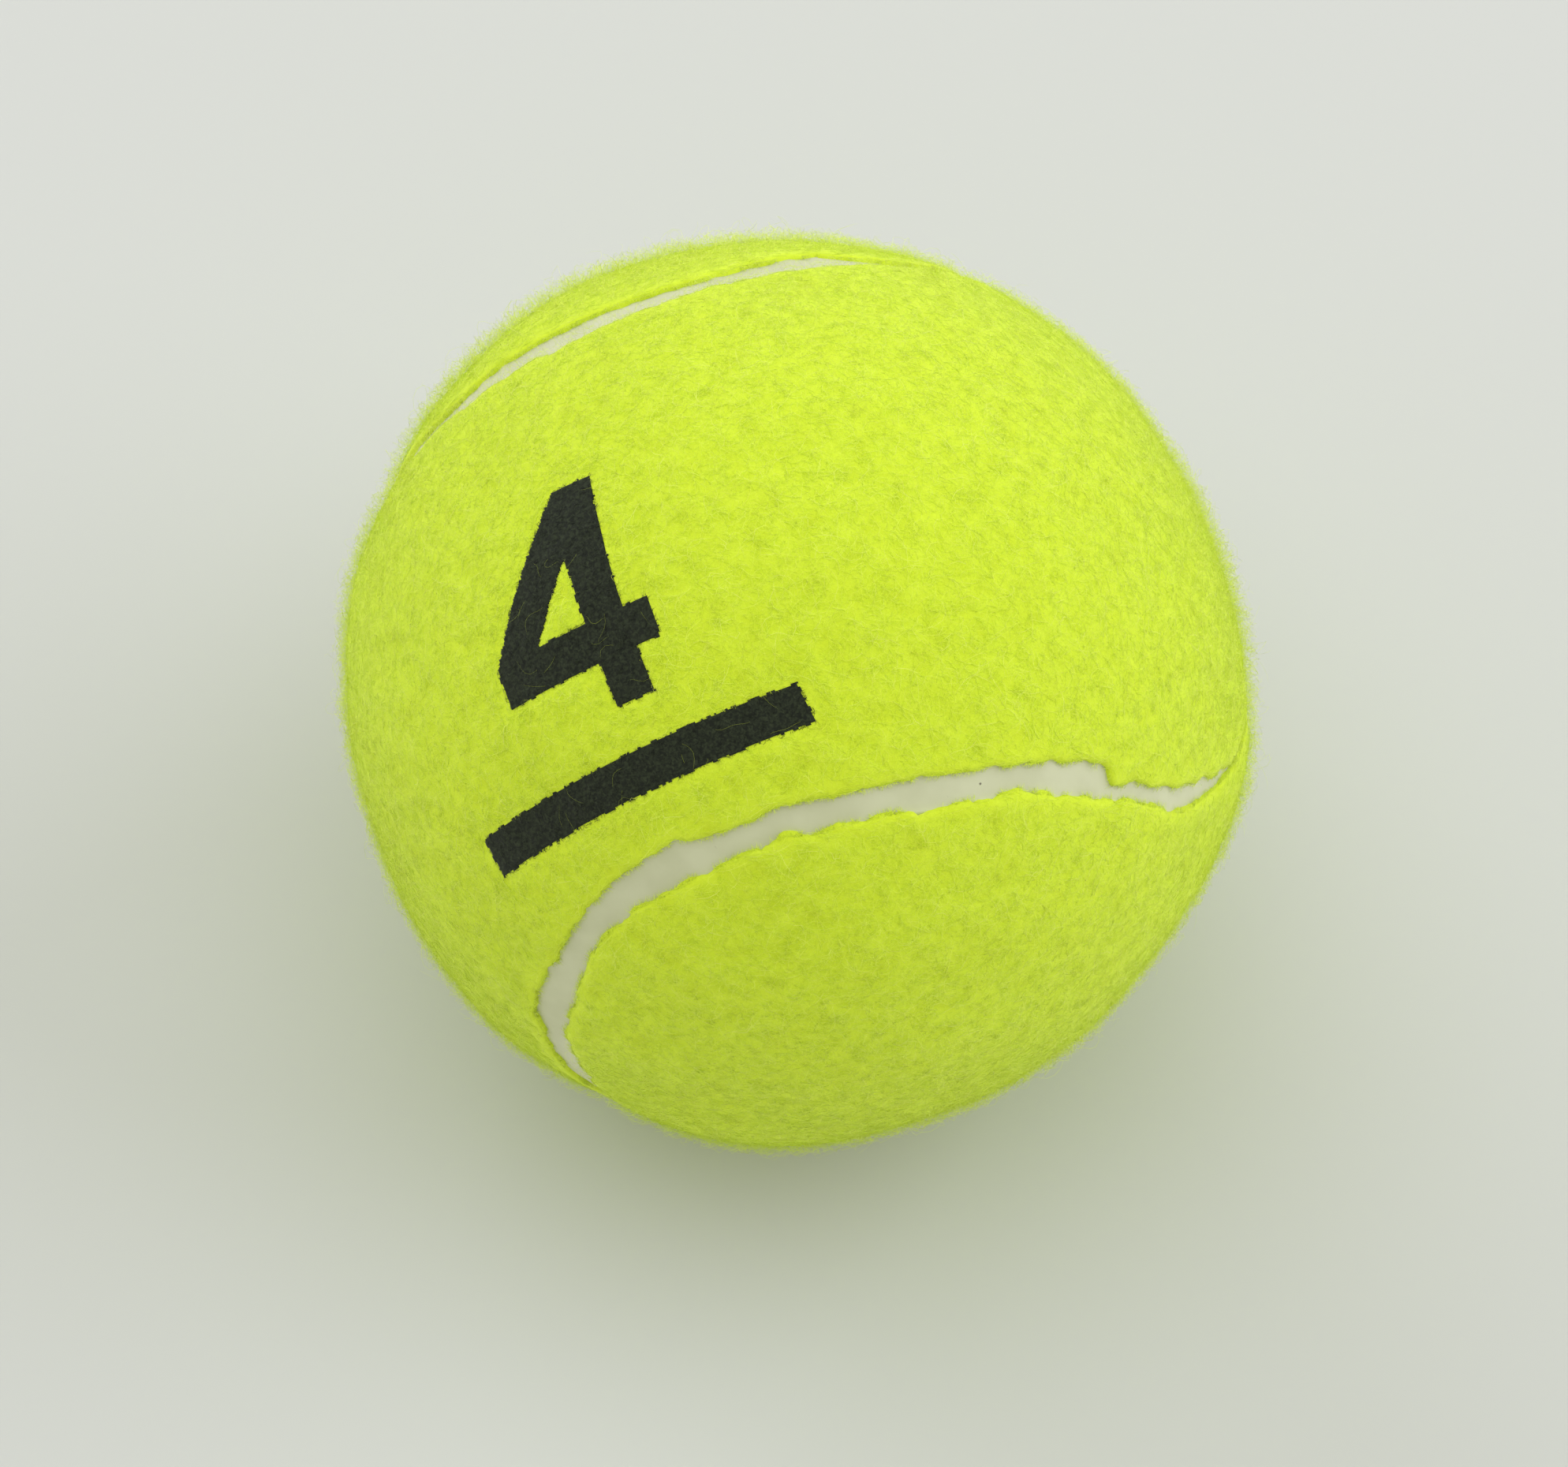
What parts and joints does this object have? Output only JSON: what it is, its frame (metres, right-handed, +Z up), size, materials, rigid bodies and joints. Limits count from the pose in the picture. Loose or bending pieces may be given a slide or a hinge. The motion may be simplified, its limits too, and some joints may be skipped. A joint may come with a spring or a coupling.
{
  "type": "tennis ball",
  "caption": "Hollow rubber ball covered in bright yellow-green felt, its interlocking cloth panels joined by a curved, recessed rubber seam.",
  "frame": {"origin": "centre of the ball", "axes": "+Z up as the ball lies in the picture, -Y towards the viewer, +X to the viewer's right. The seams lie as pictured."},
  "size_m": [0.0664, 0.0664, 0.0664],
  "materials": {
    "core_rubber": "matte",
    "cement": "satin",
    "felt": "matte",
    "seam_rubber": "matte",
    "ink": "matte"
  },
  "bodies": {
    "root": {"core_shell_upper": "core_rubber", "core_shell_lower": "core_rubber", "core_cement_ring": "cement", "core_cement_film": "cement", "felt_panel_a": "felt", "felt_panel_b": "felt", "seam_rubber": "seam_rubber", "printed_mark": "ink"}
  },
  "joints": []
}
